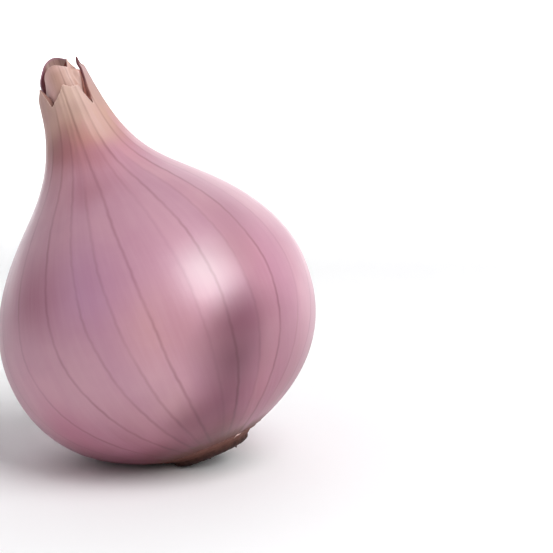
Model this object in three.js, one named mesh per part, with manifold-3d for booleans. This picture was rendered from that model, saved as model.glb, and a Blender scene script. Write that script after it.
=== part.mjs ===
// A whole shallot, 42 mm across, lying on a small flat spot with its neck leaning up to the left.
// Units are millimetres. The bulb is built round its own axis, with the root end at height 0 and
// angle 0 at the front; the group at the end leans it over and sets it down on the floor, z = 0.
// Four pieces: the solid bulb in its dry outer skin, the two skins that stand up inside its neck,
// and the corky root plate.

import * as THREE from 'three';
import { mergeVertices } from 'three/addons/utils/BufferGeometryUtils.js';
import Module from 'manifold-3d';

// The bulb's outline: radius and height at four places, with the slope and reach of the arcs between.
const outline = {
  rootRadius: 5.0, rootHeight: 0.2, rootSlope: 15.5, rootReach: 8.0,
  bellyRadius: 20.95, bellyHeight: 18.5, bellyBelow: 11.5, bellyAbove: 9.2,
  waistRadius: 9.9, waistHeight: 37.2, waistSlope: 45.5, waistBelow: 4.4, waistAbove: 5.1,
  neckRadius: 3.25, neckHeight: 54.6, neckSlope: 5.0, neckReach: 10.0,
};
const neckShift = { distance: 0.55, from: 36, to: 54 };   // the neck stands a little to the right

// Main veins, degrees round the bulb. Those on the front stand where they grew; the rest are even.
const frontVeins = [-72, -55.5, -38, -24, -13.5, -2.2, 14.5, 24, 35.5, 47, 60];
const backVeins = 15;
const vein = { columns: 4, height: 0.12, fadesBelow: 4, fadesFrom: 42, fadesTo: 50 };

// The torn rim of the outer skin. Each lobe has a tip and the notch after it, as [degrees, height];
// its flanks leave the tip as powers of the way to the notch: below 1 is a spike, above 1 is blunt.
const outerLobes = [
  { tip: [-65, 51.8], notch: [-39.5, 48.9], before: 0.6, after: 1.3 },
  { tip: [-2, 51.1], notch: [9, 50.55], before: 1.15, after: 1.3 },
  { tip: [27, 50.4], notch: [38.5, 47.4], before: 1.0, after: 0.85 },
  { tip: [66, 54.2], notch: [77, 52.9], before: 1.3, after: 0.8 },
  { tip: [88, 53.3], notch: [118, 50.9], before: 1.5, after: 2 },
  { tip: [140, 51.7], notch: [165, 50.4], before: 1.3, after: 1.3 },
  { tip: [196, 51.9], notch: [228, 50.2], before: 1.2, after: 1.6 },
  { tip: [245, 51.4], notch: [260, 50.2], before: 1.3, after: 1.3 },
];
const outerSkin = {
  wall: 0.6, hollowRadius: 3.05, hollowFloor: 45,
  collar: 44, belowCollar: 24,
  rimRows: [0, 0.25, 0.45, 0.65, 0.8, 0.92, 1], hollowRows: [1, 0.8, 0.5, 0],
};

// The second skin stands behind the middle of the neck, from one side round the back to the other.
const secondLobes = [
  { tip: [131, 54.7], notch: [135, 54.65], before: 0.93, after: 1 },
  { tip: [185, 55.5], notch: [272, 52.1], before: 1.8, after: 2.8 },
];
const secondSkin = {
  from: 92, to: 266, radius: 2.75, wall: 0.6, foot: 45.3, firstNotch: [72, 49.6],
  narrowsFrom: 51, narrowsTo: 55.4, narrowsBy: 0.55, columns: 30, rows: 8,
};

// The inner skin is the young leaf tip in front of it: a curved blade with a rounded top.
const innerLobes = [
  { tip: [-14, 54.1], notch: [48, 52.9], before: 2.3, after: 1.35 },
  { tip: [53, 52.95], notch: [70, 50.0], before: 1.0, after: 2.2 },
];
const innerSkin = {
  from: -78, to: 62, radius: 2.45, wall: 0.8, foot: 45.3, firstNotch: [-80, 51.8],
  narrowsFrom: 52.5, narrowsTo: 54, narrowsBy: 0.15, columns: 24, rows: 8,
};

// The rows of both skins crowd towards their top edge by this power.
const rowCrowding = 1.6;

// The root plate is a shallow corky dome let into the foot of the bulb, with the stubs of cut roots.
const rootRecess = { radius: 6.3, edgeRadius: 6.6, floor: 1.7 };
const rootPlate = {
  topRadius: 5.9, top: 1.4, shoulderRadius: 6.0, shoulder: 0.5,
  rimRadius: 5.3, rim: 0.1, rimRound: 0.8, drop: 0.85, sides: 40,
  domeRows: [0, 0.35, 0.7], rimTurns: [-90, -60, -30, 0],
};
const rootStubs = {
  rings: [{ radius: 1.3, count: 4 }, { radius: 2.6, count: 9 }, { radius: 3.9, count: 14 }],
  radius: 0.32, tipRadius: 0.22, length: 0.25, sunk: 0.6, splay: 8, sides: 5, seed: 42,
};

// How the shallot lies: turned a little about its own axis, leaning left and somewhat back, on a
// flat spot at the origin.
const lie = { turn: 4.7, left: 22.4, back: 8.0, x: 8.8, y: -3.1, lift: 1.8 };

const radians = THREE.MathUtils.degToRad;

// The outline as one path: three Bezier arcs that share their tangents where they meet.
function bulbOutline(o) {
  const along = (degrees, length) => new THREE.Vector2(
    Math.cos(radians(degrees)) * length, Math.sin(radians(degrees)) * length);
  const root = new THREE.Vector2(o.rootRadius, o.rootHeight);
  const belly = new THREE.Vector2(o.bellyRadius, o.bellyHeight);
  const waist = new THREE.Vector2(o.waistRadius, o.waistHeight);
  const neck = new THREE.Vector2(o.neckRadius, o.neckHeight);
  const path = new THREE.CurvePath();
  path.add(new THREE.CubicBezierCurve(
    root, root.clone().add(along(o.rootSlope, o.rootReach)),
    belly.clone().add(along(-90, o.bellyBelow)), belly));
  path.add(new THREE.CubicBezierCurve(
    belly, belly.clone().add(along(90, o.bellyAbove)),
    waist.clone().sub(along(180 - o.waistSlope, o.waistBelow)), waist));
  path.add(new THREE.CubicBezierCurve(
    waist, waist.clone().add(along(180 - o.waistSlope, o.waistAbove)),
    neck.clone().sub(along(90 + o.neckSlope, o.neckReach)), neck));
  return path;
}

const outlinePoints = bulbOutline(outline).getSpacedPoints(400);

// Radius of the plain outline at a height, between the two outline points on either side of it.
function outlineRadius(height) {
  const after = outlinePoints.findIndex((point) => point.y > height);
  if (after < 1) {
    return outlinePoints[after < 0 ? outlinePoints.length - 1 : 0].x;
  }
  const low = outlinePoints[after - 1];
  const high = outlinePoints[after];
  return THREE.MathUtils.mapLinear(height, low.y, high.y, low.x, high.x);
}

// Place on the bulb at an angle, radius and height; 0 degrees is the front, +90 the right side.
function place(degrees, radius, height) {
  const shift = neckShift.distance * THREE.MathUtils.smoothstep(height, neckShift.from, neckShift.to);
  return new THREE.Vector3(
    radius * Math.sin(radians(degrees)) + shift, -radius * Math.cos(radians(degrees)), height);
}

// Height of a torn rim at an angle. The lobes run round in order, and each starts at the notch
// before it: the last lobe's notch, or the given first one.
function rimHeight(lobes, degrees, firstNotch) {
  const last = lobes[lobes.length - 1].notch;
  let start = firstNotch ?? [last[0] - 360, last[1]];
  const angle = firstNotch ? degrees : start[0] + THREE.MathUtils.euclideanModulo(degrees - start[0], 360);
  for (const lobe of lobes) {
    if (angle <= lobe.notch[0]) {
      const rising = angle < lobe.tip[0];
      const foot = rising ? start : lobe.notch;
      const way = Math.abs((angle - lobe.tip[0]) / (foot[0] - lobe.tip[0]));
      return lobe.tip[1] - (lobe.tip[1] - foot[1]) * way ** (rising ? lobe.before : lobe.after);
    }
    start = lobe.notch;
  }
  return start[1];
}

// Angles of the veins, once round, and of the mesh columns: a few from each vein to the next.
function veinAngles() {
  const first = frontVeins[0];
  const last = frontVeins[frontVeins.length - 1];
  const step = (first + 360 - last) / (backVeins + 1);
  return [...frontVeins, ...Array.from({ length: backVeins }, (_, i) => last + step * (i + 1))];
}

function skinColumns() {
  const angles = veinAngles();
  return angles.flatMap((angle, i) => {
    const next = i + 1 < angles.length ? angles[i + 1] : angles[0] + 360;
    return Array.from({ length: vein.columns }, (_, k) => ({
      angle: THREE.MathUtils.lerp(angle, next, k / vein.columns),
      ridge: Math.cos(2 * Math.PI * k / vein.columns),
    }));
  });
}

// Each vein is a low ridge with the skin drawn in between; it fades towards the root and the rim.
function veinRelief(ridge, height) {
  const fade = THREE.MathUtils.smoothstep(height, 0, vein.fadesBelow)
    * (1 - THREE.MathUtils.smoothstep(height, vein.fadesFrom, vein.fadesTo));
  return 0.5 * vein.height * ridge * fade;
}

// A closed surface from rings of points, each end drawn together in one point.
function closedRings(rings, firstPole, lastPole) {
  const count = rings[0].length;
  const points = [firstPole, ...rings.flat(), lastPole];
  const faces = [];
  const at = (row, column) => 1 + row * count + (column % count);
  for (let column = 0; column < count; column += 1) {
    faces.push(0, at(0, column + 1), at(0, column));
    for (let row = 0; row + 1 < rings.length; row += 1) {
      const corner = [at(row, column), at(row, column + 1), at(row + 1, column + 1), at(row + 1, column)];
      faces.push(corner[0], corner[1], corner[2], corner[0], corner[2], corner[3]);
    }
    faces.push(at(rings.length - 1, column), at(rings.length - 1, column + 1), points.length - 1);
  }
  return pointsToGeometry(points, faces);
}

// A closed blade from two grids of points, its outer and inner face, joined all round their edges.
function closedBlade(outer, inner) {
  const rows = outer.length;
  const columns = outer[0].length;
  const points = [...outer.flat(), ...inner.flat()];
  const faces = [];
  const at = (face, row, column) => (face * rows + row) * columns + column;
  const quad = (a, b, c, d) => faces.push(a, b, c, a, c, d);
  for (let row = 0; row + 1 < rows; row += 1) {
    for (let column = 0; column + 1 < columns; column += 1) {
      quad(at(0, row, column), at(0, row, column + 1), at(0, row + 1, column + 1), at(0, row + 1, column));
      quad(at(1, row, column + 1), at(1, row, column), at(1, row + 1, column), at(1, row + 1, column + 1));
    }
    quad(at(1, row, 0), at(0, row, 0), at(0, row + 1, 0), at(1, row + 1, 0));
    const end = columns - 1;
    quad(at(0, row, end), at(1, row, end), at(1, row + 1, end), at(0, row + 1, end));
  }
  for (let column = 0; column + 1 < columns; column += 1) {
    quad(at(1, 0, column), at(1, 0, column + 1), at(0, 0, column + 1), at(0, 0, column));
    const top = rows - 1;
    quad(at(0, top, column), at(0, top, column + 1), at(1, top, column + 1), at(1, top, column));
  }
  return pointsToGeometry(points, faces);
}

function pointsToGeometry(points, faces) {
  const geometry = new THREE.BufferGeometry().setFromPoints(points);
  geometry.setIndex(faces);
  return geometry;
}

// The bulb: up the outside from the root recess to the torn rim, then down inside the neck to the
// floor of its hollow, and closed on the axis at both ends.
function bulbGeometry() {
  const columns = skinColumns();
  const ring = (point) => columns.map(point);
  const rimAt = (angle) => rimHeight(outerLobes, angle);
  const hollowAt = (height) => Math.min(outerSkin.hollowRadius, outlineRadius(height) - outerSkin.wall);
  const rings = [
    ring(({ angle }) => place(angle, rootRecess.radius * 0.5, rootRecess.floor)),
    ring(({ angle }) => place(angle, rootRecess.radius, rootRecess.floor)),
  ];
  const side = outlinePoints.filter(
    (point) => point.x > rootRecess.edgeRadius && point.y < outerSkin.collar);
  for (let row = 0; row < outerSkin.belowCollar; row += 1) {
    const point = side[Math.floor(side.length * row / outerSkin.belowCollar)];
    rings.push(ring(({ angle, ridge }) => place(angle, point.x + veinRelief(ridge, point.y), point.y)));
  }
  for (const way of outerSkin.rimRows) {
    rings.push(ring(({ angle, ridge }) => {
      const height = THREE.MathUtils.lerp(outerSkin.collar, rimAt(angle), way);
      return place(angle, outlineRadius(height) + veinRelief(ridge, height), height);
    }));
  }
  for (const way of outerSkin.hollowRows) {
    rings.push(ring(({ angle }) => {
      const height = THREE.MathUtils.lerp(outerSkin.hollowFloor, rimAt(angle), way);
      return place(angle, hollowAt(height), height);
    }));
  }
  return closedRings(rings, place(0, 0, rootRecess.floor), place(0, 0, outerSkin.hollowFloor));
}

// A skin that stands in the neck: a curved blade with a rounded top edge, narrowing as it rises.
function bladeGeometry(skin, lobes) {
  const face = (inset) => Array.from({ length: skin.rows + 1 }, (_, row) =>
    Array.from({ length: skin.columns + 1 }, (_, column) => {
      const angle = THREE.MathUtils.lerp(skin.from, skin.to, column / skin.columns);
      const way = 1 - (1 - row / skin.rows) ** rowCrowding;
      const height = THREE.MathUtils.lerp(skin.foot, rimHeight(lobes, angle, skin.firstNotch), way);
      const rise = Math.max(0, height - skin.narrowsFrom) / (skin.narrowsTo - skin.narrowsFrom);
      return place(angle, skin.radius - inset - skin.narrowsBy * rise ** 2, height);
    }));
  return closedBlade(face(0), face(skin.wall));
}

// The root plate, turned round the bulb's axis: the dome below, a rounded rim, then the slope that
// carries on the outline of the bulb, and flat above.
function rootPlateGeometry() {
  const p = rootPlate;
  const domeRadius = p.rimRadius - p.rimRound;
  const profile = p.domeRows.map(
    (way) => new THREE.Vector2(domeRadius * way, domeHeight(domeRadius * way)));
  for (const turn of p.rimTurns) {
    profile.push(new THREE.Vector2(
      domeRadius + Math.cos(radians(turn)) * p.rimRound, p.rim + Math.sin(radians(turn)) * p.rimRound));
  }
  profile.push(
    new THREE.Vector2(p.shoulderRadius, p.shoulder),
    new THREE.Vector2(p.topRadius, p.top),
    new THREE.Vector2(0, p.top));
  return new THREE.LatheGeometry(profile, p.sides).rotateX(Math.PI / 2);
}

function domeHeight(radius) {
  const p = rootPlate;
  return THREE.MathUtils.lerp(-p.drop, p.rim - p.rimRound, (radius / (p.rimRadius - p.rimRound)) ** 2);
}

// Stubs of the cut roots, in rings on the dome, each leaning outwards a little and sunk well in.
function rootStubGeometries() {
  const r = rootStubs;
  const draw = drawFrom(r.seed);
  return r.rings.flatMap((ring, which) => Array.from({ length: ring.count }, (_, i) => {
    const length = r.sunk + r.length * (0.5 + 0.5 * draw());
    const turn = 360 * (i + 0.5 * draw() + 0.5 * which) / ring.count;
    const foot = place(turn, ring.radius, domeHeight(ring.radius));
    return new THREE.CylinderGeometry(r.radius, r.tipRadius, length, r.sides)
      .rotateX(Math.PI / 2)
      .translate(0, 0, r.sunk - length / 2)
      .rotateX(radians(r.splay * ring.radius / rootPlate.rimRadius))
      .rotateZ(radians(turn))
      .translate(foot.x, foot.y, foot.z);
  }));
}

// Even draws from 0 to 1, the same each time for a seed: a linear congruential generator.
function drawFrom(seed) {
  const modulus = 2 ** 32;
  let state = seed;
  return () => {
    state = (state * 1664525 + 1013904223) % modulus;
    return state / modulus;
  };
}

const wasm = await Module();
wasm.setup();

function toSolid(geometry) {
  const bare = geometry.clone();
  bare.deleteAttribute('normal');
  bare.deleteAttribute('uv');
  const merged = mergeVertices(bare, 1e-4);
  return new wasm.Manifold(new wasm.Mesh({
    numProp: 3,
    vertProperties: Float32Array.from(merged.attributes.position.array),
    triVerts: Uint32Array.from(merged.index.array),
  }));
}

function fromSolid(solid) {
  const { vertProperties, triVerts } = solid.getMesh();
  const geometry = new THREE.BufferGeometry();
  geometry.setAttribute('position', new THREE.BufferAttribute(Float32Array.from(vertProperties), 3));
  geometry.setIndex(new THREE.BufferAttribute(Uint32Array.from(triVerts), 1));
  geometry.computeVertexNormals();
  return geometry;
}

// The group sets the shallot down; what would reach below the floor is cut off flat.
const shallot = new THREE.Group();
shallot.name = 'shallot';
shallot.rotation.set(-radians(lie.back), -radians(lie.left), radians(lie.turn));
shallot.position.set(lie.x, lie.y, lie.lift);
shallot.updateMatrix();

function cutByFloor(solid) {
  const depth = 10;
  const below = new THREE.BoxGeometry(60, 60, depth).translate(0, 0, -depth / 2);
  return solid.subtract(toSolid(below.applyMatrix4(shallot.matrix.clone().invert())));
}

function addPiece(name, geometry, colour, roughness) {
  const material = new THREE.MeshStandardMaterial({ color: colour, roughness, metalness: 0 });
  const mesh = new THREE.Mesh(geometry, material);
  mesh.name = name;
  shallot.add(mesh);
}

const bulb = cutByFloor(toSolid(bulbGeometry()));
const plate = rootStubGeometries().reduce(
  (solid, stub) => solid.add(toSolid(stub)), toSolid(rootPlateGeometry()));

addPiece('bulb', fromSolid(bulb), '#b1828f', 0.4);
addPiece('second_skin', bladeGeometry(secondSkin, secondLobes), '#9a837f', 0.5);
addPiece('inner_skin', bladeGeometry(innerSkin, innerLobes), '#bd988b', 0.5);
addPiece('root_plate', fromSolid(cutByFloor(plate)), '#4c2d29', 0.9);

export default shallot;
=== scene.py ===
import bpy
import numpy as np
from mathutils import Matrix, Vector


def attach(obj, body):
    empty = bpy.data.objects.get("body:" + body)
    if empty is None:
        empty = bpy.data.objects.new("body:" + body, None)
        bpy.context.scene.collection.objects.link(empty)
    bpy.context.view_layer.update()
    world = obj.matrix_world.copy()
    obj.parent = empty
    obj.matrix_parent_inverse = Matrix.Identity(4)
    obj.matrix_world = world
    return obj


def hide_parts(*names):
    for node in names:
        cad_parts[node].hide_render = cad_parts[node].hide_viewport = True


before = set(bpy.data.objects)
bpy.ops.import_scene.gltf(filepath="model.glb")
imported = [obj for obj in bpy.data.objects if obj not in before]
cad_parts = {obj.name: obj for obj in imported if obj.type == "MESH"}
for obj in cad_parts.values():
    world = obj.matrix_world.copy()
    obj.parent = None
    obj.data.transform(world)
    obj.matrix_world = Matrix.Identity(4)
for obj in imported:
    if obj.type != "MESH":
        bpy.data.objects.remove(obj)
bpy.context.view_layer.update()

metres = 0.001

# how the shallot lies: degrees of lean and turn, and millimetres
lie = {"left": 22.4, "back": 8.0, "turn": 4.7, "x": 8.8, "y": -3.1, "lift": 1.8}


def turned(axis, degrees):
    # The rotation matrix about one axis: cosines on the diagonal, plus and minus the sine beside it.
    c = np.cos(np.radians(degrees))
    s = np.sin(np.radians(degrees))
    matrix = {"x": [[1, 0, 0], [0, c, -s], [0, s, c]],
              "y": [[c, 0, s], [0, 1, 0], [-s, 0, c]],
              "z": [[c, -s, 0], [s, c, 0], [0, 0, 1]]}
    return np.array(matrix[axis])


leaned = turned("x", -lie["back"]) @ turned("y", -lie["left"]) @ turned("z", lie["turn"])


def toWorld(points):
    # Leaned, moved to the resting place, and pressed flat where it would pass the floor.
    world = points @ leaned.T + (lie["x"], lie["y"], lie["lift"])
    world[..., 2] = np.maximum(world[..., 2], 0.0)
    return world * metres


# the bulb's form, shared by all the pieces
bulb = {
    "rootRadius": 5.0, "rootHeight": 0.2, "rootSlope": 15.5, "rootReach": 8.0,
    "bellyRadius": 20.95, "bellyHeight": 18.5, "bellyBelow": 11.5, "bellyAbove": 9.2,
    "waistRadius": 9.9, "waistHeight": 37.2, "waistSlope": 45.5, "waistBelow": 4.4, "waistAbove": 5.1,
    "neckRadius": 3.25, "neckHeight": 54.6, "neckSlope": 5.0, "neckReach": 10.0,
    "neckShift": 0.55, "shiftFrom": 36.0, "shiftTo": 54.0,    # the neck stands a little to the right
}


def smooth(value, low, high):
    # 0 below low, 1 above high, and 3t^2 - 2t^3 on the way.
    t = np.clip((value - low) / (high - low), 0.0, 1.0)
    return t * t * (3 - 2 * t)


def mixed(a, b, way):
    # a where way is 0 and b where it is 1.
    return a + (b - a) * way


def bell(angle, centre, width):
    # 1 at the centre and e to the minus square of the turn away from it, in widths.
    return np.exp(-((np.mod(angle - centre + 180, 360) - 180) / width) ** 2)


def bezierArc(start, startHandle, endHandle, end, steps=200):
    # The cubic Bezier sum: (1-t)^3, 3(1-t)^2 t, 3(1-t) t^2 and t^3 of its four points.
    t = np.linspace(0, 1, steps)[:, None]
    return ((1 - t) ** 3 * start + 3 * (1 - t) ** 2 * t * startHandle
            + 3 * (1 - t) * t ** 2 * endHandle + t ** 3 * end)


def makeOutline():
    # Three arcs from the root to the neck, which share their tangents where they meet.
    def along(degrees, reach):
        return np.array([np.cos(np.radians(degrees)), np.sin(np.radians(degrees))]) * reach
    root = np.array([bulb["rootRadius"], bulb["rootHeight"]])
    belly = np.array([bulb["bellyRadius"], bulb["bellyHeight"]])
    waist = np.array([bulb["waistRadius"], bulb["waistHeight"]])
    neck = np.array([bulb["neckRadius"], bulb["neckHeight"]])
    inward = 180 - bulb["waistSlope"]
    lower = bezierArc(root, root + along(bulb["rootSlope"], bulb["rootReach"]),
                      belly - along(90, bulb["bellyBelow"]), belly)
    upper = bezierArc(belly, belly + along(90, bulb["bellyAbove"]),
                      waist - along(inward, bulb["waistBelow"]), waist)
    throat = bezierArc(waist, waist + along(inward, bulb["waistAbove"]),
                       neck - along(90 + bulb["neckSlope"], bulb["neckReach"]), neck)
    path = np.vstack([lower, upper[1:], throat[1:]])
    length = np.concatenate([[0], np.cumsum(np.hypot(*np.diff(path, axis=0).T))])
    return path[:, 0], path[:, 1], length


outlineRadius, outlineHeight, outlineLength = makeOutline()


def radiusAt(height):
    return np.interp(height, outlineHeight, outlineRadius)


def lengthAt(height):
    return np.interp(height, outlineHeight, outlineLength)


def place(angle, radius, height):
    # Radius times the sine and minus the cosine of the angle, with the neck's small step to the right.
    angle, radius, height = np.broadcast_arrays(np.radians(angle), radius, height)
    shift = bulb["neckShift"] * smooth(height, bulb["shiftFrom"], bulb["shiftTo"])
    return np.stack([radius * np.sin(angle) + shift, -radius * np.cos(angle), height], axis=-1)


def tornRim(lobes, angle, firstNotch=None):
    # Height of a torn edge. From each tip the edge falls to the notch on either side as a power of
    # the way there: below 1 the tip is a spike, above 1 it is blunt.
    start = firstNotch or (lobes[-1]["notch"][0] - 360, lobes[-1]["notch"][1])
    turn = angle if firstNotch else start[0] + np.mod(angle - start[0], 360)
    height = np.full(np.shape(turn), float(lobes[-1]["notch"][1]))
    for lobe in lobes:
        tipAngle, tipHeight = lobe["tip"]
        for foot, power in ((start, lobe["before"]), (lobe["notch"], lobe["after"])):
            low, high = sorted((foot[0], tipAngle))
            way = np.abs((turn - tipAngle) / (foot[0] - tipAngle))
            flank = tipHeight - (tipHeight - foot[1]) * np.clip(way, 0, 1) ** power
            height = np.where((turn >= low) & (turn <= high), flank, height)
        start = lobe["notch"]
    return height


waveLength = 14.0                 # the shortest wave along the bulb, in millimetres
waveShrink = 1.5                  # brings the waves to about 1 at most


def waves(x, y, count, seed, slowest, fastest):
    # A smooth, seeded unevenness round 0: a sum of sines with whole numbers of turns round x in
    # degrees, and any wavelength along y in millimetres.
    draw = np.random.default_rng(seed)
    total = np.zeros(np.broadcast_shapes(np.shape(x), np.shape(y)))
    for _ in range(count):
        around = draw.integers(slowest, fastest + 1)
        along = draw.uniform(-1, 1) * 2 * np.pi / waveLength * around / fastest
        total = total + np.sin(np.radians(x) * around + y * along + draw.uniform(0, 2 * np.pi))
    return total / np.sqrt(count) / waveShrink


# meshes from grids
def inScene(thing):
    bpy.context.scene.collection.objects.link(thing)
    return thing


def newObject(name, points, faces, material):
    mesh = bpy.data.meshes.new(name)
    mesh.from_pydata(points, [], faces)
    mesh.polygons.foreach_set("use_smooth", np.ones(len(mesh.polygons), dtype=bool))
    mesh.update()
    mesh.materials.append(material)
    return inScene(bpy.data.objects.new(name, mesh))


def newPiece(name, points, faces, material):
    return newObject(name, toWorld(points).tolist(), faces, material)


def gridFaces(rows, columns, closed, first=0):
    # Each cell's four corners, anticlockwise seen from outside; a closed grid joins its last column
    # to its first.
    row, column = np.mgrid[0:rows - 1, 0:columns if closed else columns - 1]
    right = (column + 1) % columns
    corners = np.stack([row * columns + column, row * columns + right,
                        (row + 1) * columns + right, (row + 1) * columns + column], axis=-1)
    return (corners.reshape(-1, 4) + first).tolist()


def capFaces(ring, pole, up):
    # A fan of triangles from a ring to its pole.
    following = np.roll(ring, -1)
    fan = np.stack([ring, following, np.full_like(ring, pole)], axis=-1)
    return (fan if up else fan[:, ::-1]).tolist()


def closedFaces(rows, columns):
    # Rings from the bottom up, whose two poles, the lower one first, come after them.
    ring = np.arange(columns)
    pole = rows * columns
    return (gridFaces(rows, columns, closed=True) + capFaces(ring, pole, up=False)
            + capFaces(ring + (rows - 1) * columns, pole + 1, up=True))


def addValue(piece, name, values):
    layer = piece.data.attributes.new(name, "FLOAT", "POINT")
    layer.data.foreach_set("value", np.asarray(values, dtype=np.float32).ravel())


def addVector(piece, name, vectors):
    layer = piece.data.attributes.new(name, "FLOAT_VECTOR", "POINT")
    layer.data.foreach_set("vector", np.asarray(vectors, dtype=np.float32).ravel())


def addRun(piece, angle, along):
    # Where the fibres run: the circle round the bulb, and a hundredth of the way along it.
    turn = np.radians(angle)
    addVector(piece, "run", np.stack([np.cos(turn), np.sin(turn), along / 100], axis=-1))


farAway = 60.0                    # a distance past the reach of every line and edge


# shader helpers
def linear(red, green, blue):
    # sRGB 0-255 to linear: the power 2.4 curve above its short straight foot.
    value = np.array([red, green, blue]) / 255
    curve = np.where(value <= 0.04045, value / 12.92, ((value + 0.055) / 1.055) ** 2.4)
    return (*curve.tolist(), 1.0)


def feed(tree, made, inputs):
    # Links the sockets among the inputs and sets the plain values.
    for key, value in inputs.items():
        if isinstance(value, bpy.types.NodeSocket):
            tree.links.new(value, made.inputs[key])
        else:
            made.inputs[key].default_value = value


def addNode(tree, kind, inputs, **settings):
    made = tree.nodes.new("ShaderNode" + kind)
    for name, value in settings.items():
        setattr(made, name, value)
    feed(tree, made, inputs)
    return made


def calc(tree, operation, a, b=0.0, c=0.0):
    return addNode(tree, "Math", {0: a, 1: b, 2: c}, operation=operation).outputs[0]


def ranged(tree, value, low, high, toLow=0.0, toHigh=1.0):
    inputs = {"Value": value, "From Min": low, "From Max": high, "To Min": toLow, "To Max": toHigh}
    return addNode(tree, "MapRange", inputs, interpolation_type="SMOOTHSTEP").outputs[0]


def blended(tree, factor, a, b, mode="MIX"):
    made = addNode(tree, "Mix", {0: factor, 6: a, 7: b}, data_type="RGBA", blend_type=mode)
    return made.outputs[2]


def between(tree, factor, tints):
    # From the first of two tints to the second.
    return blended(tree, factor, linear(*tints[0]), linear(*tints[1]))


def layered(tree, colour, value, layer):
    # Lays a tint on a colour; "over" gives two bounds of the value and the amounts there, 0 and 1
    # where it gives none.
    return blended(tree, ranged(tree, value, *layer["over"]), colour, linear(*layer["tint"]))


def attribute(tree, name, vector=False):
    made = addNode(tree, "Attribute", {}, attribute_name=name)
    return made.outputs["Vector" if vector else "Fac"]


def part(tree, vector, axis):
    return addNode(tree, "SeparateXYZ", {0: vector}).outputs[axis]


def noise(tree, vector, scale, detail, roughness):
    inputs = {"Vector": vector, "Scale": scale, "Detail": detail, "Roughness": roughness}
    return addNode(tree, "TexNoise", inputs).outputs[0]


def newGroup(name, inputs, outputs):
    group = bpy.data.node_groups.new(name, "ShaderNodeTree")
    for label, kind, default in inputs:
        socket = group.interface.new_socket(label, in_out="INPUT", socket_type="NodeSocket" + kind)
        socket.default_value = default
    for label in outputs:
        group.interface.new_socket(label, in_out="OUTPUT", socket_type="NodeSocketFloat")
    return group, group.nodes.new("NodeGroupInput").outputs, group.nodes.new("NodeGroupOutput").inputs


def useGroup(tree, group, inputs):
    made = tree.nodes.new("ShaderNodeGroup")
    made.node_tree = group
    feed(tree, made, inputs)
    return made.outputs


def newMaterial(name):
    material = bpy.data.materials.new(name)
    material.use_nodes = True
    tree = material.node_tree
    return material, tree, tree.nodes["Principled BSDF"]


# effects that several of the materials share
def makeVeinGroup():
    # A thin line: full on the vein, gone at its width, times how strong that vein is there.
    group, given, out = newGroup("vein line", [("Distance", "Float", 1.0), ("Strength", "Float", 1.0),
                                               ("Width", "Float", 0.2)], ["Mask"])
    edge = ranged(group, given["Distance"], 0.0, given["Width"], 1.0, 0.0)
    group.links.new(calc(group, "MULTIPLY", edge, given["Strength"]), out["Mask"])
    return group


fibre = {"broadRun": 1.3, "broadRough": 0.55, "fineRun": 0.25, "fineRough": 0.6, "fineTimes": 7.0,
         "detail": 3.0}


def makeFibreGroup():
    # Streaks along the skin: noise on the circle round the bulb, stretched along its length. Broad
    # streaks shade the colour, and fine ones also raise the surface.
    group, given, out = newGroup("skin fibres", [("Run", "Vector", (0, 0, 0)), ("Number", "Float", 8.0)],
                                 ["Broad", "Fine"])

    def streaks(number, run, rough):
        stretched = addNode(group, "Mapping", {"Vector": given["Run"], "Scale": (1, 1, run)})
        return noise(group, stretched.outputs[0], number, fibre["detail"], rough)

    many = calc(group, "MULTIPLY", given["Number"], fibre["fineTimes"])
    group.links.new(streaks(given["Number"], fibre["broadRun"], fibre["broadRough"]), out["Broad"])
    group.links.new(streaks(many, fibre["fineRun"], fibre["fineRough"]), out["Fine"])
    return group


# the detail and roughness of each noise, how much finer the fine one is, and its share
dryGrain = {"coarse": (3.0, 0.55), "fine": (2.0, 0.5), "fineTimes": 6.0, "fineShare": 0.3}


def makeGrainGroup():
    # The small unevenness of a dried skin: coarse noise with some finer noise added.
    group, given, out = newGroup("dry grain", [("Place", "Vector", (0, 0, 0)), ("Size", "Float", 1.0)],
                                 ["Height"])
    per = calc(group, "DIVIDE", 1.0, given["Size"])
    finer = calc(group, "MULTIPLY", per, dryGrain["fineTimes"])
    coarse = noise(group, given["Place"], per, *dryGrain["coarse"])
    fine = noise(group, given["Place"], finer, *dryGrain["fine"])
    group.links.new(calc(group, "MULTIPLY_ADD", fine, dryGrain["fineShare"], coarse), out["Height"])
    return group


def makePatchGroup():
    # A soft round patch: full at its centre, gone at its radius.
    group, given, out = newGroup("soft patch", [("Place", "Vector", (0, 0, 0)),
                                                ("Centre", "Vector", (0, 0, 0)),
                                                ("Radius", "Float", 5.0)], ["Mask"])
    away = addNode(group, "VectorMath", {0: given["Place"], 1: given["Centre"]}, operation="DISTANCE")
    near = calc(group, "DIVIDE", away.outputs["Value"], given["Radius"])
    group.links.new(ranged(group, near, 0.0, 1.0, 1.0, 0.0), out["Mask"])
    return group


veinGroup = makeVeinGroup()
fibreGroup = makeFibreGroup()
grainGroup = makeGrainGroup()
patchGroup = makePatchGroup()


def patched(tree, colour, spot, patches):
    # Lays soft patches on a colour. Each has an angle and height on the bulb, a radius, an amount
    # and a tint.
    for angle, height, radius, amount, tint in patches:
        centre = place(angle, radiusAt(height), height)
        mask = useGroup(tree, patchGroup, {"Place": spot, "Centre": centre.tolist(),
                                           "Radius": radius})["Mask"]
        colour = blended(tree, calc(tree, "MULTIPLY", mask, amount), colour, linear(*tint))
    return colour


def raised(tree, shader, height, strength, depth):
    bump = addNode(tree, "Bump", {"Height": height, "Strength": strength, "Distance": depth * metres})
    tree.links.new(bump.outputs[0], shader.inputs["Normal"])


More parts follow.
